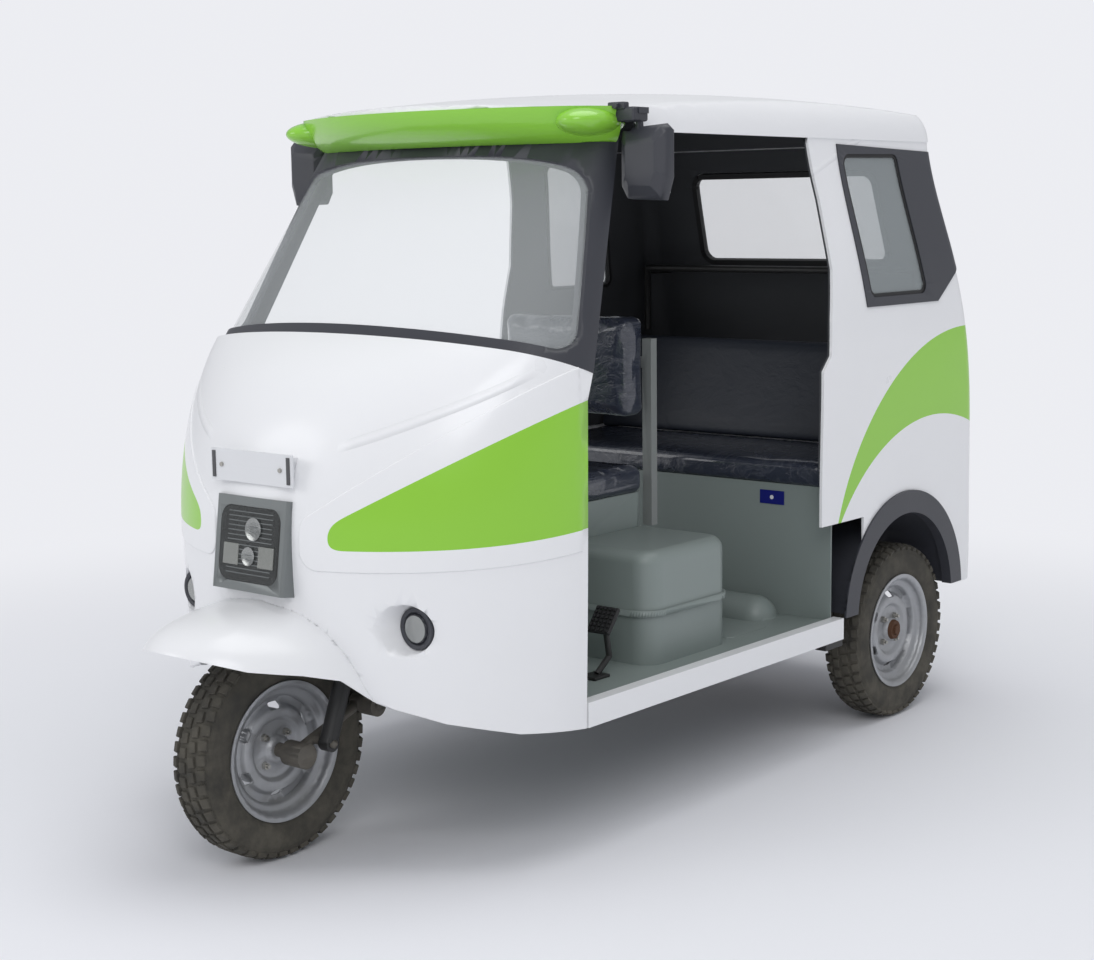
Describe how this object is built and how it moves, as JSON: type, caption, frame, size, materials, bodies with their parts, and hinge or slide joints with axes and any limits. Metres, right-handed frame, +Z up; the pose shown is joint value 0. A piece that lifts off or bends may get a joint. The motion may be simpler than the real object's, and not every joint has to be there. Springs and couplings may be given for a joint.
{
  "type": "auto rickshaw",
  "caption": "Electric three-wheeled auto rickshaw with a moulded cab, open doorways, driver's console, rear bench, steered front wheel and ladder frame.",
  "frame": {"origin": "on the ground, in the middle of the vehicle's length and width", "axes": "+Z up, -Y forwards along travel, +X the vehicle's left side"},
  "size_m": [1.29, 2.6991, 1.8219],
  "materials": {
    "body_white": "gloss painted moulding",
    "accent_green": "gloss",
    "trim_black": "satin",
    "grey_moulding": "satin",
    "lining": "matt textured",
    "clear_glass": "clear",
    "lamp": "clear over bright reflector",
    "tail_red": "gloss",
    "seat_vinyl": "vinyl under clear wrap",
    "frame_black": "satin",
    "grey_steel": "satin, dusty",
    "rim_silver": "silver paint",
    "tyre": "dusty",
    "plate_white": "satin",
    "chrome_trim": "satin grey",
    "battery": "matt"
  },
  "bodies": {
    "body": {"battery_console": "grey_moulding", "battery_pack": "battery", "cabin_lining": "lining", "cabin_rails": "frame_black", "chassis_frame": "frame_black", "dashboard": "trim_black", "drive_motor": "grey_steel", "driver_seat_back": "seat_vinyl", "driver_seat_base": "grey_moulding", "driver_seat_cushion": "seat_vinyl", "driver_seat_frame": "grey_steel", "floor_pan": "grey_moulding", "fog_lamps": "lamp", "front_cowl": "body_white", "front_fender": "body_white", "headlamp": "lamp", "headlamp_bezel": "chrome_trim", "leaf_springs": "frame_black", "mirrors": "trim_black", "number_plate": "plate_white", "pedals": "frame_black", "quarter_panel_left": "body_white", "quarter_panel_right": "body_white", "quarter_trims": "trim_black", "rear_axle": "grey_steel", "rear_glazing": "clear_glass", "rear_panel": "body_white", "rear_riser": "grey_moulding", "rear_seat_back": "seat_vinyl", "rear_seat_cushion": "seat_vinyl", "roof": "body_white", "roof_lining": "lining", "side_sills": "body_white", "tail_lamps": "tail_red", "visor": "accent_green", "wheel_arch_liners": "trim_black", "wheel_flares": "trim_black", "windshield_frame": "trim_black", "windshield_glass": "clear_glass"},
    "steering": {"handlebar": "frame_black", "steering_column": "grey_steel", "fork": "grey_steel", "front_link": "grey_steel", "front_strut": "grey_steel"},
    "front_wheel": {"front_tyre": "tyre", "front_rim": "rim_silver"},
    "rear_wheel_left": {"rear_tyre_left": "tyre", "rear_rim_left": "rim_silver"},
    "rear_wheel_right": {"rear_tyre_right": "tyre", "rear_rim_right": "rim_silver"}
  },
  "joints": [
    {"name": "steer", "type": "hinge", "parent": "body", "child": "steering", "pos_m": [0, -0.79609, 0.7], "axis": [0, 0.4226, 0.9063], "range_deg": [-40, 40]},
    {"name": "front_roll", "type": "hinge", "parent": "steering", "child": "front_wheel", "pos_m": [0, -1.0425, 0.2586], "axis": [1, 0, 0], "continuous": true},
    {"name": "rear_roll_left", "type": "hinge", "parent": "body", "child": "rear_wheel_left", "pos_m": [0.513, 0.9325, 0.2586], "axis": [1, 0, 0], "continuous": true},
    {"name": "rear_roll_right", "type": "hinge", "parent": "body", "child": "rear_wheel_right", "pos_m": [-0.513, 0.9325, 0.2586], "axis": [1, 0, 0], "continuous": true}
  ]
}
